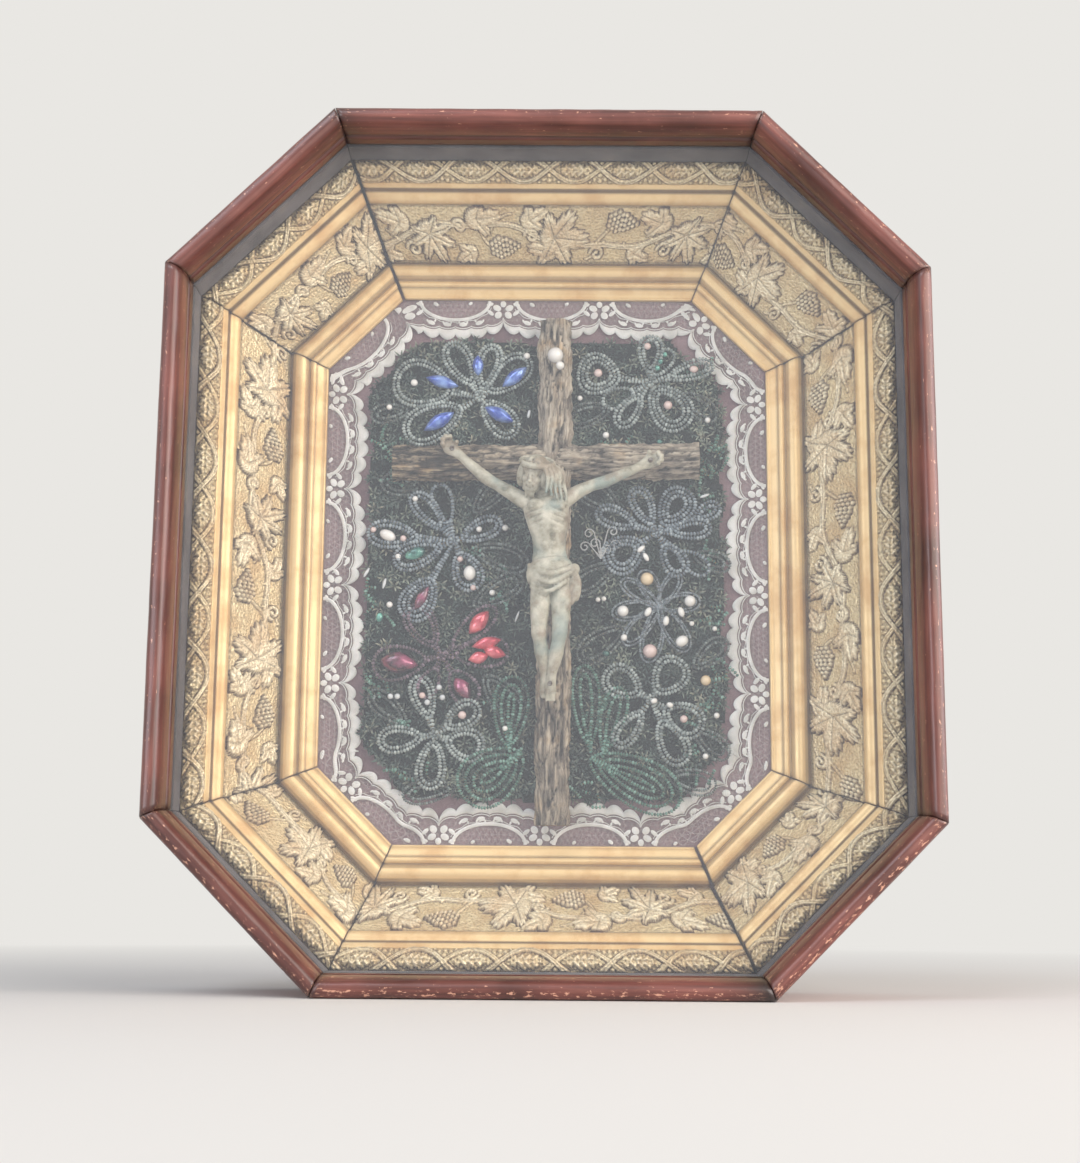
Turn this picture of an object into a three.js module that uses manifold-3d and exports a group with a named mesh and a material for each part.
// Eight sided shadow box reliquary: a deep stained frame, a gilt vine liner, and a crucifix among
// bead flowers behind glass. Millimetres, +Z up. The front faces -Y and the box stands on its
// bottom rail, with the origin at the middle of that rail's underside.

import * as THREE from 'three';
import { mergeVertices } from 'three/addons/utils/BufferGeometryUtils.js';
import Module from 'manifold-3d';

const wasm = await Module();
wasm.setup();

// Outer frame
const overallWidth = 310;
const overallHeight = 357;
const cornerCut = 67;
const frameDepth = 87;
const wallThickness = 5;
const lipReach = 4;
const lipBackDepth = 18.5;
const rimBeadWidth = 8.6;
const rimBeadHeight = 11.5;
const rimCrestInset = 4.2;
const quirkDepth = 1;
const quirkHeight = 1.5;
const mitreGap = 0.4;

// Clearance between neighbouring pieces
const fitGap = 0.3;

// Glazing
const glassThickness = 2;
const spacerDepth = 12.7;
const spacerWidth = 4;

// Liner mouldings from the outside in: how far each runs across and falls back
const braidWidth = 9;
const braidFall = 3.4;
const braidRise = 5;
const filletWidth = 2.2;
const filletFall = 0.6;
const coveWidth = 0.8;
const coveFall = 3.2;
const coveHollow = 1.4;
const beadWidth = 3;
const beadFall = 5;
const beadRise = 3.4;
const friezeWidth = 18.6;
const friezeFall = 21.8;
const grooveWidth = 1.8;
const grooveStep = 2.8;
const sightBeadWidth = 6.6;
const sightBeadFall = 0.6;
const sightBeadRise = 4.2;
const fineGrooveWidth = 0.8;
const smallBeadWidth = 2.6;
const smallBeadFall = 0.4;
const smallBeadRise = 1.8;
const sightFlatWidth = 3.6;
const sightFlatFall = 1.5;
const edgeBeadWidth = 1.3;
const edgeBeadFall = 0.4;
const edgeBeadRise = 1.2;
const sightEdgeThickness = 1.3;
const openMitreGap = 1.3;

// Display board and ground
const velvetThickness = 0.8;
const boardThickness = 4;
const backboardThickness = 6;
const laceWidth = 19;
const laceThickness = 0.8;
const scallopPitch = 8;
const scallopDepth = 1.6;
const mossThickness = 3.5;

// Sprigs that hold the backboard
const sprigRadius = 0.7;
const sprigLength = 12;
const sprigBite = 3.6;

// Cross of two bark covered branches
const postWidth = 14.8;
const armWidth = 15.9;
const postThickness = 10;
const armThickness = 9.2;
const postLength = 217.6;
const armLength = 131.4;
const postShiftX = 3.5;
const armShiftX = -0.2;
const postMiddleAboveCentre = -2;
const armAboveCentre = 43.5;
const armTiltDegrees = 0.8;
const barkRelief = 1.7;
const pearlRadius = 3.4;
const pearlBelowTop = 18;

// Figure
const figureHeight = 100;
const pinRadius = 0.6;
const pinHeadRadius = 1.1;
const pinHeadThickness = 0.8;
const pinBite = 5.5;

// Bead flowers
const beadDiameter = 2.2;
const hubRadius = 2.8;
const lowTierHeight = 1.6;
const highTierHeight = 4.8;
const wireRadius = 0.45;

// Hanging ring and its screw eye
const eyeHoleRadius = 2.5;
const eyeWireRadius = 1.1;
const shankRadius = 1;
const shankBite = 9;
const ringRadius = 10;
const ringWireRadius = 1.1;

const linerWidth = spacerWidth + braidWidth + filletWidth + coveWidth + beadWidth + friezeWidth
  + grooveWidth + sightBeadWidth + fineGrooveWidth + smallBeadWidth + sightFlatWidth + edgeBeadWidth;
const linerDepth = braidFall + filletFall + coveFall + beadFall + friezeFall - grooveStep
  + sightBeadFall + smallBeadFall + sightFlatFall + edgeBeadFall + sightEdgeThickness;

// Depths behind the front of the rim, from front to back
const lipFrontDepth = rimBeadHeight + quirkHeight;
const glassFront = lipBackDepth + fitGap;
const spacerFront = glassFront + glassThickness + fitGap;
const linerFront = spacerFront + spacerDepth + fitGap;
const linerBack = linerFront + linerDepth;
const velvetFront = linerBack + fitGap;
const boardFront = velvetFront + velvetThickness + fitGap;
const backboardFront = boardFront + boardThickness + fitGap;
const backboardBack = backboardFront + backboardThickness;
const groundFront = velvetFront - fitGap;
const mossFront = groundFront - mossThickness;
const crossBack = mossFront - fitGap;
const crossFront = crossBack - postThickness;

// Insets from the outline
const rebateInset = wallThickness + fitGap;
const lipInset = wallThickness + lipReach;
const sightInset = rebateInset + linerWidth;
const laceInset = sightInset + fitGap;
const mossInset = laceInset + laceWidth + fitGap;

const centreHeight = overallHeight / 2;
const frontY = -frameDepth / 2;
const mitreRun = Math.tan(Math.PI / 8);

const finish = (color, roughness, metalness = 0) =>
  new THREE.MeshStandardMaterial({ color, roughness, metalness });
const stainedWood = () => finish(0x6e3428, 0.32);
const giltCompo = () => finish(0xd9bd82, 0.38, 0.7);
const paintedStrip = () => finish(0x5c5c63, 0.7);
const clearGlass = () => {
  const glass = finish(0xdfe6e4, 0.05);
  glass.transparent = true;
  glass.opacity = 0.25;
  return glass;
};
const rawPine = () => finish(0xa98457, 0.8);
const mauveVelvet = () => finish(0x7d6668, 0.95);
const cottonLace = () => finish(0xd4d3ce, 0.9);
const driedMoss = () => finish(0x39493b, 0.95);
const barkWood = () => finish(0x8a775d, 0.85);
const castMetal = () => finish(0xa9a78f, 0.55, 0.4);
const brassWire = () => finish(0xa88a4c, 0.4, 0.8);
const steelWire = () => finish(0x77787a, 0.35, 0.9);
const glassBeads = (color) => finish(color, 0.15);

const reliquary = new THREE.Group();

function addPiece(name, geometry, material) {
  const piece = new THREE.Mesh(geometry, material);
  piece.name = name;
  reliquary.add(piece);
  return piece;
}

// Solid modelling helpers
function toSolid(geometry) {
  const bare = geometry.clone();
  bare.deleteAttribute('normal');
  bare.deleteAttribute('uv');
  const merged = mergeVertices(bare, 1e-4);
  return new wasm.Manifold(new wasm.Mesh({
    numProp: 3,
    vertProperties: new Float32Array(merged.attributes.position.array),
    triVerts: new Uint32Array(merged.index.array),
  }));
}

function toGeometry(solid) {
  const mesh = solid.getMesh();
  const geometry = new THREE.BufferGeometry();
  geometry.setAttribute('position', new THREE.BufferAttribute(mesh.vertProperties, 3));
  geometry.setIndex(new THREE.BufferAttribute(mesh.triVerts, 1));
  geometry.computeVertexNormals();
  return geometry;
}

// Pieces joined into one body, with the slivers of air sealed between them filled in
function join(geometries) {
  const whole = geometries.map(toSolid).reduce((body, next) => body.add(next));
  const shells = whole.decompose().sort((a, b) => b.volume() - a.volume());
  return toGeometry(shells[0]);
}

const cut = (geometry, tools) =>
  toGeometry(tools.map(toSolid).reduce((whole, tool) => whole.subtract(tool), toSolid(geometry)));

// A rod between two points
function rod(from, to, radius, sides = 8) {
  const start = new THREE.Vector3(...from);
  const axis = new THREE.Vector3(...to).sub(start);
  const geometry = new THREE.CylinderGeometry(radius, radius, axis.length(), sides);
  geometry.applyQuaternion(new THREE.Quaternion().setFromUnitVectors(
    new THREE.Vector3(0, 1, 0), axis.clone().normalize()));
  return geometry.translate(...start.addScaledVector(axis, 0.5));
}

// A closed skin over elliptical rings, square to the line through their middles
function loft(rings, sides) {
  const middles = rings.map((ring) => new THREE.Vector3(...ring.at));
  const points = [];
  rings.forEach((ring, row) => {
    const along = middles[Math.min(row + 1, rings.length - 1)].clone()
      .sub(middles[Math.max(row - 1, 0)]).normalize();
    const back = new THREE.Vector3(0, 1, 0);
    back.addScaledVector(along, -back.dot(along)).normalize();
    const across = along.clone().cross(back);
    for (let side = 0; side < sides; side += 1) {
      const angle = (side / sides) * 2 * Math.PI;
      const swell = ring.ripple ? 1 + ring.ripple(side) : 1;
      const point = middles[row].clone()
        .addScaledVector(across, ring.wide * swell * Math.cos(angle))
        .addScaledVector(back, ring.deep * swell * Math.sin(angle));
      points.push(point);
    }
  });
  points.push(middles[0], middles[rings.length - 1]);
  const [firstPole, lastPole] = [points.length - 2, points.length - 1];
  const lastRow = (rings.length - 1) * sides;
  const faces = [];
  for (let side = 0; side < sides; side += 1) {
    const next = (side + 1) % sides;
    faces.push(firstPole, side, next, lastPole, lastRow + next, lastRow + side);
    for (let row = 0; row < lastRow; row += sides) {
      faces.push(row + side, row + sides + side, row + sides + next);
      faces.push(row + side, row + sides + next, row + next);
    }
  }
  return new THREE.BufferGeometry().setFromPoints(points).setIndex(faces);
}

// The outline moved inwards by an inset, clockwise from the top left corner, seen from the front
function outlineAt(inset) {
  const halfWidth = overallWidth / 2 - inset;
  const halfHeight = overallHeight / 2 - inset;
  const cutLeg = cornerCut - inset * (2 - Math.SQRT2);
  return [
    [-(halfWidth - cutLeg), halfHeight], [halfWidth - cutLeg, halfHeight],
    [halfWidth, halfHeight - cutLeg], [halfWidth, -(halfHeight - cutLeg)],
    [halfWidth - cutLeg, -halfHeight], [-(halfWidth - cutLeg), -halfHeight],
    [-halfWidth, -(halfHeight - cutLeg)], [-halfWidth, halfHeight - cutLeg],
  ].map(([x, z]) => new THREE.Vector2(x, z));
}

const sideNames = [
  'top', 'upper_right', 'right', 'lower_right', 'bottom', 'lower_left', 'left', 'upper_left',
];

// A moulding section, drawn as inset against depth, run along one side and mitred at both ends
function mitredBar(section, side, gapAtStart = mitreGap, gapAtEnd = mitreGap) {
  const corners = outlineAt(0);
  const from = corners[side];
  const length = from.distanceTo(corners[(side + 1) % 8]);
  const bar = new THREE.ExtrudeGeometry(section, {
    depth: 1, bevelEnabled: false, curveSegments: 6,
  });
  const place = bar.attributes.position;
  for (let i = 0; i < place.count; i += 1) {
    const inset = place.getX(i);
    const start = inset * mitreRun + gapAtStart / 2;
    const end = length - inset * mitreRun - gapAtEnd / 2;
    place.setZ(i, place.getZ(i) < 0.5 ? start : end);
  }
  bar.rotateY(Math.PI / 2 + side * Math.PI / 4);
  return bar.translate(from.x, frontY, centreHeight + from.y);
}

// A flat octagonal sheet between two depths
function octagonSheet(inset, frontDepth, backDepth) {
  const sheet = new THREE.ExtrudeGeometry(new THREE.Shape(outlineAt(inset)), {
    depth: backDepth - frontDepth, bevelEnabled: false,
  });
  sheet.rotateX(Math.PI / 2);
  return sheet.translate(0, frontY + backDepth, centreHeight);
}

// Outer frame: a bullnose rim with a quirk at its foot, a lip over the glass and a plain wall
function frameSection() {
  const section = new THREE.Shape();
  section.moveTo(0, frameDepth);
  section.lineTo(0, rimCrestInset);
  section.quadraticCurveTo(0, 0, rimCrestInset, 0);
  section.bezierCurveTo(
    rimBeadWidth * 0.85, 0, rimBeadWidth, rimBeadHeight * 0.45,
    rimBeadWidth, rimBeadHeight - quirkDepth);
  section.lineTo(rimBeadWidth - quirkDepth, rimBeadHeight);
  section.lineTo(lipInset, lipFrontDepth);
  section.lineTo(lipInset, lipBackDepth);
  section.lineTo(wallThickness, lipBackDepth);
  section.lineTo(wallThickness, frameDepth);
  return section;
}

// The sprigs bite into the walls of the four diagonal sides, just behind the backboard
const sprigDepth = backboardBack + fitGap + sprigRadius;
const sprigInset = [wallThickness - sprigBite, wallThickness - sprigBite + sprigLength];
const sprigSides = [1, 3, 5, 7];

function sprigLine(side, inset) {
  const corners = outlineAt(inset);
  const middle = corners[side].clone().lerp(corners[(side + 1) % 8], 0.5);
  return [middle.x, frontY + sprigDepth, centreHeight + middle.y];
}

const eyeHeight = overallHeight - wallThickness / 2;
const eyeStandOff = eyeHoleRadius + 2 * eyeWireRadius + 1;
const backY = frontY + frameDepth;

sideNames.forEach((sideName, side) => {
  const bar = mitredBar(frameSection(), side);
  const holes = [];
  if (sprigSides.includes(side)) {
    holes.push(rod(sprigLine(side, sprigInset[0] - fitGap),
      sprigLine(side, wallThickness + 1), sprigRadius + fitGap));
  }
  if (side === 0) {
    holes.push(rod([0, backY - shankBite - fitGap, eyeHeight], [0, backY + 1, eyeHeight],
      shankRadius + fitGap));
  }
  addPiece(`frame_${sideName}`, holes.length ? cut(bar, holes) : bar, stainedWood());
});

sprigSides.forEach((side) => {
  const sprig = rod(sprigLine(side, sprigInset[0]), sprigLine(side, sprigInset[1]), sprigRadius);
  addPiece(`sprig_${sideNames[side]}`, sprig, steelWire());
});

// Glass, held forward against the lip by painted strips
addPiece('glass_pane', octagonSheet(rebateInset, glassFront, glassFront + glassThickness),
  clearGlass());

function spacerSection() {
  return new THREE.Shape([
    new THREE.Vector2(rebateInset, spacerFront),
    new THREE.Vector2(rebateInset + spacerWidth, spacerFront),
    new THREE.Vector2(rebateInset + spacerWidth, spacerFront + spacerDepth),
    new THREE.Vector2(rebateInset, spacerFront + spacerDepth),
  ]);
}

sideNames.forEach((sideName, side) => {
  addPiece(`spacer_${sideName}`, mitredBar(spacerSection(), side), paintedStrip());
});

// Gilt liner: braid torus, fillet, cove and bead, a steep frieze, then the sight mouldings. A run
// with a rise swells towards the front, and one with a negative rise is hollow
function linerSection() {
  const section = new THREE.Shape();
  const pen = new THREE.Vector2(rebateInset, linerFront);
  const run = (across, fall, rise = 0) => {
    const start = pen.clone();
    pen.add(new THREE.Vector2(across, fall));
    const outward = new THREE.Vector2(fall, -across).normalize();
    const pull = start.lerp(pen, 0.5).addScaledVector(outward, rise);
    section.quadraticCurveTo(pull.x, pull.y, pen.x, pen.y);
  };
  section.moveTo(pen.x, pen.y);
  section.lineTo(pen.x += spacerWidth, pen.y);
  run(braidWidth, braidFall, braidRise);
  run(filletWidth, filletFall);
  run(coveWidth, coveFall, -coveHollow);
  run(beadWidth, beadFall, beadRise);
  run(friezeWidth, friezeFall);
  run(grooveWidth, -grooveStep);
  run(sightBeadWidth, sightBeadFall, sightBeadRise);
  run(fineGrooveWidth, 0);
  run(smallBeadWidth, smallBeadFall, smallBeadRise);
  run(sightFlatWidth, sightFlatFall);
  run(edgeBeadWidth, edgeBeadFall, edgeBeadRise);
  section.lineTo(sightInset, linerBack);
  section.lineTo(rebateInset, linerBack);
  return section;
}

// Age has opened two of the liner's mitres: the top with the upper left, the bottom with the
// lower right
const openMitres = { top: [true, false], lower_right: [false, true], bottom: [true, false],
  upper_left: [false, true] };

sideNames.forEach((sideName, side) => {
  const openEnds = openMitres[sideName] ?? [false, false];
  const gaps = openEnds.map((open) => (open ? openMitreGap : mitreGap));
  addPiece(`liner_${sideName}`, mitredBar(linerSection(), side, ...gaps), giltCompo());
});

// Velvet over a thin board, and the backboard that closes the box
addPiece('velvet_cloth', octagonSheet(rebateInset, velvetFront, velvetFront + velvetThickness),
  mauveVelvet());
addPiece('display_board', octagonSheet(rebateInset, boardFront, boardFront + boardThickness),
  rawPine());
addPiece('backboard', octagonSheet(rebateInset, backboardFront, backboardBack), rawPine());

// Lace: one length to each side, its free edge cut in scallops
function laceLength(side) {
  const outer = [outlineAt(laceInset)[side], outlineAt(laceInset)[(side + 1) % 8]];
  const inner = [outlineAt(laceInset + laceWidth)[side],
    outlineAt(laceInset + laceWidth)[(side + 1) % 8]];
  const along = outer[1].clone().sub(outer[0]).normalize();
  const outwards = new THREE.Vector2(-along.y, along.x);
  const shorten = (point, sign) => point.clone().addScaledVector(along, sign * mitreGap / 2);
  const [first, last] = [shorten(inner[0], 1), shorten(inner[1], -1)];
  const run = last.distanceTo(first);
  const scallops = Math.max(1, Math.round(run / scallopPitch));
  const stepsEach = 2;
  const edge = [];
  for (let step = 0; step <= scallops * stepsEach; step += 1) {
    const lift = scallopDepth * (1 - Math.abs(Math.sin((step / stepsEach) * Math.PI)));
    edge.push(first.clone().lerp(last, step / (scallops * stepsEach))
      .addScaledVector(outwards, lift));
  }
  const shape = new THREE.Shape([shorten(outer[0], 1), ...edge, shorten(outer[1], -1)]);
  const lace = new THREE.ExtrudeGeometry(shape, { depth: laceThickness, bevelEnabled: false });
  lace.rotateX(Math.PI / 2);
  return lace.translate(0, frontY + groundFront, centreHeight);
}

sideNames.forEach((sideName, side) => {
  addPiece(`lace_${sideName}`, laceLength(side), cottonLace());
});

addPiece('moss_bed', octagonSheet(mossInset, mossFront, groundFront), driedMoss());

// Branches of the cross: rough rounds with swellings and a ridged bark
function branch(length, width, thickness, swellings, margin) {
  const sides = 10;
  const rows = Math.round(length / 14);
  const reach = length / 2 + margin;
  const rings = [];
  for (let row = 0; row <= rows; row += 1) {
    const t = row / rows;
    const girth = 1 - 0.06 * Math.abs(Math.sin(t * Math.PI * swellings));
    rings.push({
      at: [0, 0, (2 * t - 1) * reach],
      wide: (width / 2) * girth + margin,
      deep: (thickness / 2) * girth + margin,
      ripple: (side) => -(barkRelief / width) * (1 + Math.sin(side * 2.1 + row * 1.3)),
    });
  }
  return loft(rings, sides);
}

const crossMiddleY = frontY + (crossFront + crossBack) / 2;
const armZ = centreHeight + armAboveCentre;
const postZ = centreHeight + postMiddleAboveCentre;
const postSwellings = 9;
const armSwellings = 6;

const makePost = (margin) => branch(postLength, postWidth, postThickness, postSwellings, margin)
  .translate(postShiftX, crossMiddleY, postZ);
const makeArm = (margin) => branch(armLength, armWidth, armThickness, armSwellings, margin)
  .rotateY(Math.PI / 2 - THREE.MathUtils.degToRad(armTiltDegrees))
  .translate(armShiftX, crossMiddleY, armZ);

// The half of a branch in front of, or behind, the plane where the two are lapped
function halfBranch(geometry, inFront) {
  const waste = new THREE.BoxGeometry(postLength * 2, postThickness, postLength * 2);
  const shift = (inFront ? 1 : -1) * (postThickness / 2);
  return cut(geometry, [waste.translate(postShiftX, crossMiddleY + shift, postZ)]);
}

// Figure on the cross. Its stations are [x, forward of the branches, z above the arm's middle,
// half width, half depth], in hundredths of the figure's height
const figureScale = figureHeight / 100;
const figurePoint = ([x, forward, z]) => [
  postShiftX + x * figureScale,
  frontY + crossFront - fitGap - forward * figureScale,
  armZ + z * figureScale,
];
const limb = (rings, sides = 6) => loft(rings.map(([x, forward, z, wide, deep = wide]) => ({
  at: figurePoint([x, forward, z]), wide: wide * figureScale, deep: deep * figureScale,
})), sides);

const handLeft = [-43.6, 4.3, 3.6];
const handRight = [40.6, 4.3, -0.9];
const feetCross = [-1.4, 9.2, -97];

function figureGeometry() {
  const torso = limb([
    [-5.6, 9.4, -14.5, 2.1, 2.2], [-5, 9, -17.4, 3, 2.8], [-4.4, 8.4, -18.8, 8.4, 4],
    [-3.8, 8.6, -21.5, 10, 5.6], [-3.1, 8.6, -25.5, 9.6, 6.2], [-2.4, 8.2, -31, 8.4, 5.8],
    [-2, 7.6, -36, 7.5, 5], [-1.9, 6.9, -41.5, 7.1, 4.5], [-1.7, 6.9, -46, 7.8, 4.9],
    [-1.4, 6.9, -52, 9, 5.5], [-1.2, 7.2, -58, 8, 5],
  ], 10);
  const cloth = limb([
    [-1.9, 7, -44.4, 7.6, 5.2], [-1.7, 7.2, -46.2, 9.4, 6.2], [-1.4, 7.4, -50, 10.6, 6.7],
    [-0.9, 7.4, -54.5, 10.4, 6.6], [-1.1, 7.6, -58.5, 9.6, 6.2], [-1.3, 8, -61.6, 8.2, 5.2],
  ], 10);
  const knot = limb([
    [5.4, 11, -46.5, 1.6], [8.2, 10.6, -50.5, 3], [9.6, 9.6, -55.5, 2.8], [8.8, 9.2, -60, 2.6],
    [7.4, 9, -64.2, 1.2],
  ]);
  const armLeft = limb([
    [-9.2, 8.6, -20.8, 2.6], [-14, 7.8, -19, 3.1], [-18.6, 7, -16, 2.7], [-24.4, 6.2, -12.4, 2.4],
    [-29.6, 5.4, -8.9, 2.1], [-34, 4.8, -5, 2.2], [-38.6, 4, -0.8, 1.7], [-41.4, 3.2, 1.8, 1.5],
    [-43.4, 2.4, 3.4, 2.7, 1.5], [-46, 1.9, 5.6, 2.4, 1.3], [-47.4, 1.8, 6.8, 1.4, 0.9],
  ]);
  const armRight = limb([
    [1.6, 8.6, -20.8, 2.6], [5.6, 7.8, -18.6, 3.1], [9.8, 7, -15.6, 2.7], [15.2, 6.2, -12.8, 2.4],
    [21.4, 5.4, -10.6, 2.1], [27, 4.8, -8, 2.2], [33.6, 4, -4.9, 1.7], [37.2, 3.2, -3, 1.5],
    [39.6, 2.4, -1.6, 2.7, 1.5], [42.6, 1.9, 0.4, 2.4, 1.3], [44.4, 1.8, 1.6, 1.4, 0.9],
  ]);
  const legLeft = limb([
    [-5.2, 7.4, -54, 4.2], [-5.6, 8.8, -62, 4.3], [-6, 10.4, -70, 3.9], [-6, 11.4, -76.6, 3.6],
    [-5.2, 10, -82.4, 3.3], [-4.4, 8, -88, 2.9], [-3.6, 6.2, -92.8, 2.1], [-3.4, 4.6, -96, 2.7, 2],
    [-3.2, 3.4, -100.4, 3, 1.6], [-3, 3, -103, 2.2, 1],
  ]);
  const legRight = limb([
    [3, 7.4, -54, 4.2], [3.2, 9, -62, 4.2], [2.8, 11, -70, 3.8], [2.4, 12, -76.6, 3.5],
    [1.8, 11, -82.4, 3.2], [0.8, 9.6, -88, 2.8], [-0.4, 8, -92.8, 2.1], [-0.8, 7, -96, 2.6, 1.8],
    [-1, 6.6, -100, 2.8, 1.4], [-1.1, 6.2, -102.6, 2, 0.9],
  ]);
  const head = limb([
    [-4.4, 11.2, -0.6, 2.2, 2.6], [-4.6, 11.8, -2, 4.4, 5], [-5, 12.4, -5, 5.4, 6.2],
    [-5.7, 13, -8.6, 5.2, 6.2], [-6.4, 13.6, -12, 4.6, 5.4], [-7.4, 14.2, -15, 3.6, 4],
    [-8.4, 14.6, -18, 1.8, 2],
  ], 10);
  const nose = limb([
    [-6.4, 19, -7, 0.6], [-6.8, 20, -9, 0.9], [-7.2, 20.2, -10.8, 1.1], [-7.3, 19.2, -11.6, 0.8],
  ], 6);
  const hairLeft = limb([
    [-8, 11, -1.8, 2.2], [-10.6, 11.4, -5.2, 2.6], [-11.8, 11.4, -10, 2.6], [-12.2, 10.4, -15, 2.3],
    [-12.2, 9.4, -19.4, 1.4],
  ], 6);
  const hairRight = limb([
    [-1.6, 9.6, -1.8, 2.4], [0.8, 9.4, -5, 2.8], [2.2, 9.4, -10, 2.8], [3.2, 9.2, -15, 2.4],
    [3.8, 9, -19, 1.4],
  ], 6);
  const hairBack = limb([
    [-4, 8.4, -1.6, 4.4, 2.6], [-4.2, 8, -6, 6, 3.4], [-4.4, 8.2, -12, 6, 3.2],
    [-4.6, 8.4, -17, 5, 2.6],
  ], 8);
  return join([torso, cloth, knot, armLeft, armRight, legLeft, legRight, head, nose, hairLeft,
    hairRight, hairBack]);
}

// Pins through both palms and the crossed feet into the branches
const pinSpots = { pin_left_hand: handLeft, pin_right_hand: handRight, pin_feet: feetCross };
const pinLine = (spot, clearance) => {
  const [x, y, z] = figurePoint(spot);
  return [[x, y, z], [x, frontY + crossFront + pinBite + clearance, z]];
};
const pinHole = (spot) => {
  const [from, to] = pinLine(spot, fitGap);
  from[1] -= postThickness;
  return rod(from, to, pinRadius + fitGap, 6);
};
const pinHoles = Object.values(pinSpots).map(pinHole);

// The post keeps its front half where it crosses the arm, and the arm keeps its back half there and
// is coped to the post's round in front
const pearlSpot = [postShiftX, frontY + crossFront, postZ + postLength / 2 - pearlBelowTop];
const pearlSeat = rod([pearlSpot[0], pearlSpot[1] - 2, pearlSpot[2]],
  [pearlSpot[0], pearlSpot[1] + pinBite + fitGap, pearlSpot[2]], pinRadius + fitGap, 6);
addPiece('cross_post', cut(makePost(0), [halfBranch(makeArm(fitGap), false), pinHoles[2], pearlSeat]),
  barkWood());
addPiece('cross_arm', cut(makeArm(0), [halfBranch(makePost(fitGap), true), pinHoles[0], pinHoles[1]]),
  barkWood());

addPiece('figure', cut(figureGeometry(), pinHoles), castMetal());

Object.entries(pinSpots).forEach(([name, spot]) => {
  const [from, to] = pinLine(spot, 0);
  const headEnd = [from[0], from[1] - pinHeadThickness, from[2]];
  addPiece(name, join([
    rod(headEnd, to, pinRadius, 6),
    rod(headEnd, from, pinHeadRadius),
  ]), steelWire());
});

// A pearl pinned near the top of the post, with a smaller one below it
const pearlY = pearlSpot[1] - pearlRadius - fitGap;
addPiece('post_pearls', join([
  new THREE.SphereGeometry(pearlRadius, 10, 6).translate(pearlSpot[0], pearlY, pearlSpot[2]),
  new THREE.SphereGeometry(pearlRadius * 0.55, 6, 4).translate(
    pearlSpot[0] + pearlRadius * 0.6, pearlY + 0.6, pearlSpot[2] - pearlRadius * 1.3),
  rod([pearlSpot[0], pearlY, pearlSpot[2]],
    [pearlSpot[0], pearlSpot[1] + pinBite, pearlSpot[2]], pinRadius, 6),
]), finish(0xe9e6da, 0.25));

// Wired bead flowers. A petal is [angle, length, width, stone], its sizes counted in beads: a strand
// leaves the hub, runs round the petal and comes back, with a stone wired inside it where one is given
const beadRadius = beadDiameter / 2;
const strandSides = 4;
const strandSection = new THREE.Shape();
for (let side = 0; side < strandSides; side += 1) {
  const angle = (side / strandSides) * 2 * Math.PI;
  const method = side === 0 ? 'moveTo' : 'lineTo';
  strandSection[method](beadRadius * Math.cos(angle), beadRadius * Math.sin(angle));
}

function petalLoop(middle, angle, length, width) {
  const steps = 9;
  const sweep = 0.86 * Math.PI;
  const fullness = 1.3;
  const points = [];
  for (let step = 0; step <= steps; step += 1) {
    const turn = sweep * (1 - (2 * step) / steps);
    points.push(new THREE.Vector3(
      (length / 2) * (1 + Math.cos(turn)),
      0,
      fullness * (width / 2) * Math.sin(turn) * Math.cos(turn / 2)));
  }
  const loop = new THREE.ExtrudeGeometry(strandSection, {
    steps, bevelEnabled: false, extrudePath: new THREE.CatmullRomCurve3(points),
  });
  return loop.rotateY(-angle).translate(...middle);
}

function wiredFlower({ centre, tier, petals }) {
  const footY = frontY + mossFront - fitGap;
  const beadY = footY - tier;
  const middle = [postShiftX + centre[0] * beadDiameter, beadY, armZ + centre[1] * beadDiameter];
  const hubTop = [middle[0], footY - Math.max(tier, hubRadius), middle[2]];
  const parts = [
    rod(hubTop, [middle[0], footY, middle[2]], hubRadius, 6),
    new THREE.SphereGeometry(hubRadius, 6, 4).translate(...hubTop),
  ];
  petals.forEach(([degrees, ...beads]) => {
    const angle = THREE.MathUtils.degToRad(degrees);
    const [length, width, stone] = beads.map((count) => count * beadDiameter);
    parts.push(petalLoop(middle, angle, length, width));
    if (stone) {
      const reach = length * 0.6;
      const heading = [Math.cos(angle), Math.sin(angle)];
      const spot = [middle[0] + heading[0] * reach, beadY, middle[2] + heading[1] * reach];
      const drop = new THREE.SphereGeometry(1, 5, 4);
      drop.scale(stone / 2, beadRadius * 1.1, Math.min(stone * 0.35, width / 2 - beadDiameter));
      parts.push(rod(middle, spot, wireRadius, 4), drop.rotateY(-angle).translate(...spot));
    }
  });
  return join(parts);
}

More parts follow.
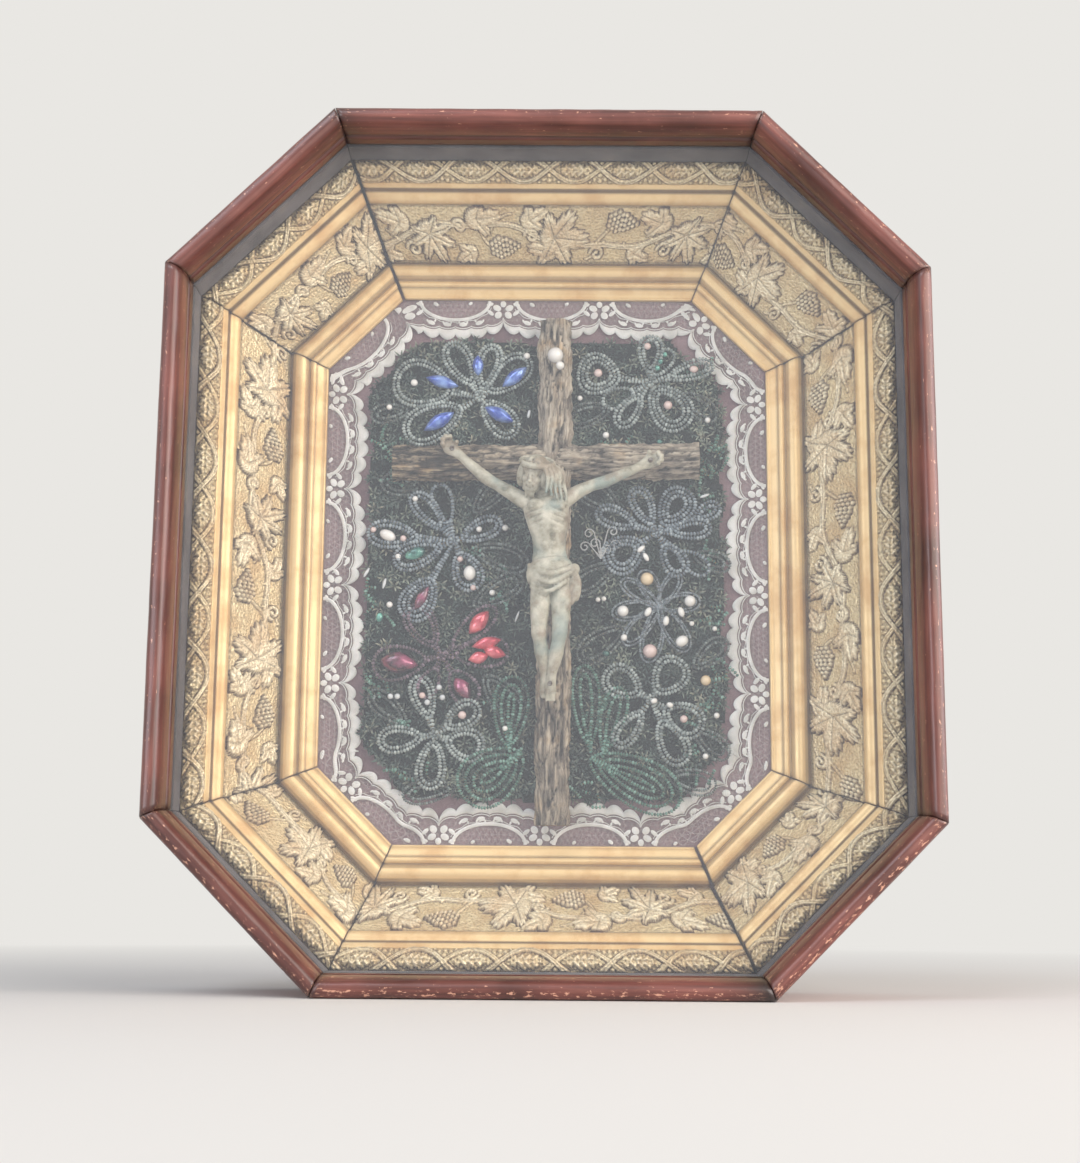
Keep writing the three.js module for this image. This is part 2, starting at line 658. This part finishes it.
// Each hub's place is counted in beads from the middle of the cross
const flowers = {
  flower_blue: { centre: [-14.4, 13.4], tier: lowTierHeight, color: 0x4a62b8, petals: [
    [172, 16, 8.5, 7], [208, 16.5, 6.5, 6.5], [101, 12.5, 5.5, 5.5], [47, 13, 6, 6.5],
    [-47, 9.5, 5, 5.5]] },
  flower_upper_right: { centre: [18.7, 17.9], tier: lowTierHeight, color: 0x7f8a8c, petals: [
    [180, 13.5, 10, 2], [96, 8, 4, 1.5], [3, 12.5, 5, 2], [-51, 12, 8, 2], [-119, 9.5, 4, 0]] },
  flower_middle_left: { centre: [-19.6, -14.8], tier: highTierHeight, color: 0x6f7a72, petals: [
    [174, 15.5, 5.5, 3.5], [200, 14.5, 4.5, 3.5], [-67, 12, 7, 3.5], [242, 17.5, 5.5, 5],
    [98, 8, 4, 0]] },
  flower_red: { centre: [-21.9, -38], tier: lowTierHeight, color: 0xb0454c, petals: [
    [41, 12.5, 4.5, 6], [6, 12.5, 5, 6], [-56, 9.5, 4, 4.5], [185, 12, 6.5, 6.5]] },
  flower_middle_right: { centre: [20.3, -13.3], tier: lowTierHeight, color: 0x6c7680, petals: [
    [115, 8.5, 5, 0], [65, 9, 6, 0], [0, 9.5, 4.5, 2], [-65, 8.5, 4.5, 2.5],
    [210, 11.5, 6.5, 2.5], [160, 10.5, 5.5, 0]] },
  flower_pearl: { centre: [20.7, -28.4], tier: highTierHeight, color: 0xcfc9bb, petals: [
    [120, 7.5, 4, 2.5], [12, 9.5, 4.5, 2.5], [187, 9.5, 5, 2.5], [255, 10, 5, 2.5],
    [-62, 8, 4, 2.5]] },
  flower_lower_left: { centre: [-22, -53.6], tier: highTierHeight, color: 0x7d8884, petals: [
    [110, 10, 5.5, 2], [35, 9.5, 5, 2], [180, 11, 4, 2], [-10, 8, 5.5, 2], [-105, 9, 5, 2]] },
  flower_lower_right: { centre: [18.5, -47.5], tier: lowTierHeight, color: 0x7a8589, petals: [
    [140, 8.5, 5.5, 2], [60, 10, 5.5, 2], [-15, 8.5, 5, 2], [-60, 10.5, 5.5, 2],
    [-130, 8, 4.5, 0]] },
  leaves_left: { centre: [-6.6, -55.9], tier: lowTierHeight, color: 0x2f5a46, petals: [
    [215, 14, 10, 0], [215, 9.5, 5.5, 0], [95, 14, 6.5, 0]] },
  leaves_right: { centre: [7.3, -56.4], tier: highTierHeight, color: 0x2f5a46, petals: [
    [-33, 19, 10, 0], [-31, 14, 6, 0], [94, 17, 5.5, 0]] },
};

Object.entries(flowers).forEach(([name, flower]) => {
  addPiece(name, wiredFlower(flower), glassBeads(flower.color));
});

// Screw eye in the back edge of the top rail, its loop upright, and the ring that hangs in it
const loopY = backY + eyeStandOff;
const eyeLoopRadius = eyeHoleRadius + eyeWireRadius;
addPiece('screw_eye', join([
  new THREE.TorusGeometry(eyeLoopRadius, eyeWireRadius, 6, 14).rotateY(Math.PI / 2)
    .translate(0, loopY, eyeHeight),
  rod([0, backY - shankBite, eyeHeight], [0, loopY - eyeLoopRadius, eyeHeight], shankRadius),
]), brassWire());

const ringPivotZ = eyeHeight - eyeHoleRadius + fitGap + ringWireRadius;
addPiece('hanging_ring', new THREE.TorusGeometry(ringRadius, ringWireRadius, 6, 20)
  .rotateX(Math.PI / 2).translate(0, loopY, ringPivotZ - ringRadius), brassWire());

export default reliquary;
